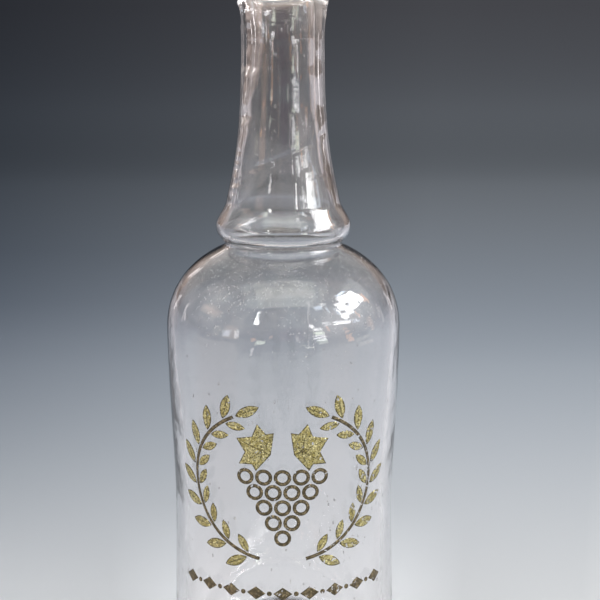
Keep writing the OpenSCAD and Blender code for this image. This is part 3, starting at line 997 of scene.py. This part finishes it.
def room_wall(s, stage, way, place, plan, facing):
    """The room's walls and ceiling: dim and reddish in front, patchy, dimmer behind, with three glows."""
    x, y, z = place
    patches = s.noise(way, 3.2, 3.0, 0.6, stretch=(1, 1, 0.35))
    warmth = s.noise(way, 2.1, 2.0, 0.5, stretch=(1, 1, 0.5))
    half = [(a + b) / 2 for a, b in zip(stage.wall, stage.ceiling)]
    low = [[c * part for c in stage.low_wall] for part in (1, 1.1, 0.45)]
    wall = colour_ramp(s, z, ((0.0, low[0]), (0.12, low[1]), (0.05, low[2]),
                              (0.32, stage.wall), (0.65, half), (0.85, stage.ceiling)), "LINEAR")
    middle = s.times(s.span(towards(s, x, y, plan, 8), 0.972, 0.986), s.span(z, 0.15, 0.35, 1.0, 0.0))
    wall = s.blend(middle, wall, (*stage.front_wall, 1))
    warm, cool = (1.0, 0.91, 0.85, 1), (0.94, 0.97, 1.0, 1)
    wall = s.vector("MULTIPLY", wall, s.blend(s.span(warmth, 0.42, 0.58), warm, cool))
    dim = s.times(s.span(z, 0.3, 0.7, stage.back_wall, 0.55), s.span(x, -0.4, 0.4, 1.25, 0.8))
    behind = s.span(facing, -0.3, 0.3)
    behind = s.plus(s.times(dim, behind), s.math("SUBTRACT", 1.0, behind))
    wall = s.vector("SCALE", wall, s.times(s.span(patches, 0.36, 0.64, 0.65, 1.35), behind))
    for heading, wide, top, level in ((72, 0.7, 0.45, stage.glow), (110, 0.6, 0.6, 0.12),
                                      (-75, 0.7, 0.5, 0.6 * stage.glow)):
        side = towards(s, x, y, plan, heading)
        glow = s.times(s.span(side, wide, 0.95), s.span(z, top, top + 0.3, 1.0, 0.0))
        glow = s.times(glow, s.span(patches, 0.36, 0.64, 0.4 * level, 1.6 * level))
        glow = s.times(glow, s.span(z, -0.05, 0.2, 0.15, 1.0))
        wall = s.vector("ADD", wall, s.vector("SCALE", (1.0, 0.95, 0.9), glow))
    return wall


def room_light(stage):
    """The room as camera, glass and metal see it, with plain even light on what is matt."""
    s = Shader(bpy.data.worlds.new("room"))
    way = s.node("TexCoord").outputs["Generated"]
    place = s.node("SeparateXYZ", {0: way}).outputs
    x, y, z = place
    plan = plan_length(s, x, y)
    facing = s.math("DIVIDE", y, plan)
    wall = room_wall(s, stage, way, place, plan, facing)
    # painted shade: the paper seen in the world darkens towards the left
    shaded = painted_left_shade(s, s.math("DIVIDE", x, y), stage.dusk)
    paper = s.vector("MULTIPLY", tuple(c * 0.97 for c in stage.far), shaded)
    behind = s.times(s.span(facing, 0.945, 0.976), s.span(z, 0.15, 0.30, 1.0, 0.0))
    ray = s.node("LightPath").outputs
    seen = s.math("MAXIMUM", ray["Is Glossy Ray"], ray["Is Transmission Ray"])
    seen = s.math("MAXIMUM", ray["Is Camera Ray"], seen)
    seen = s.times(seen, s.math("LESS_THAN", ray["Diffuse Depth"], 0.5))
    plain = (stage.plain, stage.plain, stage.plain, 1)
    return s.finish(s.out("Background", {"Color": s.blend(seen, plain, s.blend(behind, wall, paper))}))


def lamp(name, heading, rise, away, width, tall, brightness, colour, lights=False):
    """A lamp that faces the shoulder: a gleam seen in glass and gilding, which may also light the scene."""
    light = bpy.data.lights.new(name, "AREA")
    light.shape, light.size, light.size_y = "RECTANGLE", width, tall
    light.energy, light.color = brightness * math.pi * width * tall, colour
    post = bpy.data.objects.new(name, light)
    turn, level = math.radians(heading), away * math.cos(math.radians(rise))
    aim = Vector((level * math.sin(turn), -level * math.cos(turn), away * math.sin(math.radians(rise))))
    post.location = Vector((0, 0, SHOULDER_Z)) + aim
    post.rotation_mode = "QUATERNION"
    post.rotation_quaternion = aim.to_track_quat("Z", "Y")
    post.visible_diffuse, post.visible_camera = lights, False
    bpy.context.scene.collection.objects.link(post)


# Panels of the soft box over the camera: each with its rise in degrees, its width and height, and its
# share of the soft box's brightness. Only the first one lights the scene.
SOFT_BOX_HEADING, SOFT_BOX_AWAY, SOFT_BOX_COLOUR = 4, 1.3, (1, 0.99, 0.90)
PANELS = ((60, 1.2, 0.7, 0.5), (66, 1.7, 1.0, 0.3), (72, 1.1, 0.6, 0.4))
WHITE, BLUISH, GREENISH, PINK = (1, 1, 1), (0.75, 0.86, 1), (0.92, 1, 0.82), (1, 0.94, 0.94)
ORANGE, BROWN, ROSY = (1, 0.5, 0.24), (1, 0.62, 0.40), (1, 0.66, 0.5)
FAR_OFF, ON_TABLE = 4.0, 0.5
# Bright things of the room that the glass mirrors, by name, distance and colour. Each pane has its
# heading from the front towards +X, its rise, its width and height in degrees, and its share of the
# windows' brightness.
GLEAMS = (
    ("window", FAR_OFF, WHITE, (
        (57, 14.2, 10, 2.4, 1.0), (67, 13, 8, 3.5, 0.5), (68, 21, 8, 6, 0.8), (77, 25, 7, 8, 0.6),
        (64, 29, 3, 5, 0.5), (71, 33, 9, 8, 0.8), (80, 38, 10, 8, 1.0), (87, 29, 9, 9, 0.9),
        (93, 37, 10, 7, 0.9), (98, 30, 7, 9, 1.0))),
    ("window", FAR_OFF, BLUISH, (
        (77, 11, 10, 1.8, 0.25), (79, 22, 3, 3, 0.3), (84, 44, 12, 2, 0.5), (62, 28, 2, 8, 0.25))),
    ("high_window", FAR_OFF, BLUISH, ((42, 39, 7, 5, 0.22), (52, 33, 2, 7, 0.2))),
    ("high_window", FAR_OFF, WHITE, ((50, 42, 6, 3, 0.25),)),
    ("curtain", FAR_OFF, ORANGE, (
        (105, 26, 2, 11, 0.3), (84, 16, 1.5, 5, 0.25), (64, 3.5, 6, 2.5, 0.14), (60, -4, 5, 2, 0.15),
        (46, 10, 1.2, 5, 0.3))),
    ("right_wall", FAR_OFF, WHITE, ((97, 34, 34, 24, 0.035),)),
    ("left_wall", FAR_OFF, WHITE, ((-92, 40, 30, 14, 0.02),)),
    ("tall_window", FAR_OFF, WHITE, (
        (38, -0.9, 13, 0.7, 0.7), (40, 0.5, 6, 0.5, 0.7), (36.5, 3.1, 14, 1.7, 0.5), (35, 12.4, 9, 2.4, 0.4),
        (29, 17, 3, 3, 0.8), (45, 16.5, 7, 2.2, 0.3))),
    ("tall_window", FAR_OFF, GREENISH, ((36, 7.6, 10, 3.2, 0.35),)),
    ("far_window", FAR_OFF, WHITE, ((-28, 21, 5, 4, 1.4), (-28, 26, 3, 6, 1.4), (-28, 33, 1.5, 8, 1.4))),
    ("low_lamp", FAR_OFF, ORANGE, ((-29, 0.8, 4, 3.5, 0.15),)),
    ("small_lamp", FAR_OFF, (1, 0.55, 0.4), ((-12, 5, 2, 4, 0.10),)),
    ("brown_door", FAR_OFF, BROWN, ((-52, 5, 14, 14, 0.04),)),
    ("brown_wall", FAR_OFF, BROWN, ((96, 1, 5, 12, 0.07),)),
    ("brown_wall", FAR_OFF, ROSY, ((-83, 21, 22, 8, 0.07),)),
    ("left_strip", FAR_OFF, PINK, (
        (-117, 2, 1.6, 18, 0.16), (-139, 1, 2, 9, 0.1), (-149, 14, 2.4, 9, 0.1), (-160, 20, 7, 2.4, 0.1))),
    ("right_strip", FAR_OFF, PINK, ((115, 2, 3.5, 18, 0.06), (139, 1, 3, 9, 0.06))),
    ("low_window", ON_TABLE, GREENISH, ((38, -4.5, 9, 4, 0.2), (-21, -3.6, 8, 4, 0.2))),
    ("low_window", ON_TABLE, BLUISH, ((-54, 2.3, 7, 7, 0.15),)),
    ("low_window", ON_TABLE, WHITE, ((-44, 3, 2.5, 9, 0.3),)),
    ("low_window", ON_TABLE, PINK, ((14, 1, 3, 7, 0.08), (-29, -13, 2, 5, 0.2))),
    ("low_window", ON_TABLE, (1, 0.97, 0.85), ((24, -9, 10, 1, 0.25),)),
    ("curtain", ON_TABLE, ORANGE, ((66, -6, 6, 4, 0.2),)),
    ("brown_table", ON_TABLE, (1, 0.88, 0.66), ((84, -12, 18, 3, 0.05),)))


def angle_size(away, angle):
    """The size of a thing that spans an angle in degrees at a distance."""
    return 2 * away * math.tan(math.radians(angle / 2))


class BOTTLE_OT_stage(bpy.types.Operator):
    """Sets the floor, the room's light, the lamps and the camera"""
    bl_idname = "bottle.stage"
    bl_label = "Stage"

    def execute(self, context):
        scene, stage = context.scene, context.scene.bottle_stage
        corners = [(x * FLOOR_REACH, y * FLOOR_REACH, 0) for x, y in ((-1, -1), (1, -1), (1, 1), (-1, 1))]
        mesh = bpy.data.meshes.new("floor")
        mesh.from_pydata(corners, [], [(0, 1, 2, 3)])
        add_piece(mesh, sweep_floor(stage), smooth=False)
        scene.world = room_light(stage)
        for panel in PANELS:
            rise, width, tall, part = panel
            lamp("soft_box", SOFT_BOX_HEADING, rise, SOFT_BOX_AWAY, width, tall, stage.soft_box * part,
                 SOFT_BOX_COLOUR, panel == PANELS[0])
        for name, away, colour, panes in GLEAMS:
            for heading, rise, across, tall, part in panes:
                lamp(name, heading, rise, away, angle_size(away, across), angle_size(away, tall),
                     stage.window * part, colour)

        lens = bpy.data.cameras.new("camera")
        lens.lens, lens.sensor_width = LENS_MM, SENSOR_MM
        camera = bpy.data.objects.new("camera", lens)
        camera.location = (CAMERA_SIDE, -stage.near_edge, CAMERA_Z)
        camera.rotation_euler = (math.radians(90 - CAMERA_DOWN), 0, 0)
        scene.collection.objects.link(camera)
        scene.camera = camera
        scene.view_settings.view_transform = "Standard"
        return {"FINISHED"}


class BOTTLE_PT_panel(bpy.types.Panel):
    """Builds each piece of the bottle"""
    bl_idname = "BOTTLE_PT_panel"
    bl_label = "Bottle"
    bl_space_type = "VIEW_3D"
    bl_region_type = "UI"
    bl_category = "Bottle"

    def draw(self, context):
        for operator in OPERATORS:
            self.layout.operator(operator.bl_idname)
        for name in GROUPS:
            group = getattr(context.scene, name)
            box = self.layout.box()
            for key in group.bl_rna.properties.keys():
                if key not in ("rna_type", "name"):
                    box.prop(group, key)


OPERATORS = (BOTTLE_OT_glass, BOTTLE_OT_seeds, BOTTLE_OT_wreath, BOTTLE_OT_grapes, BOTTLE_OT_border,
             BOTTLE_OT_stage)
GROUPS = {"bottle_glass": BottleGlass, "bottle_gilding": BottleGilding, "bottle_stage": BottleStage}


def register():
    for made in (*GROUPS.values(), *OPERATORS, BOTTLE_PT_panel):
        bpy.utils.register_class(made)
    for name, group in GROUPS.items():
        setattr(bpy.types.Scene, name, PointerProperty(type=group))


def unregister():
    for name in GROUPS:
        delattr(bpy.types.Scene, name)
    for made in reversed((*GROUPS.values(), *OPERATORS, BOTTLE_PT_panel)):
        bpy.utils.unregister_class(made)


def main():
    register()
    bpy.ops.bottle.glass()
    bpy.ops.bottle.seeds()
    bpy.ops.bottle.wreath()
    bpy.ops.bottle.grapes()
    bpy.ops.bottle.border()
    bpy.ops.bottle.stage()
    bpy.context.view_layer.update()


if __name__ == "__main__":
    main()
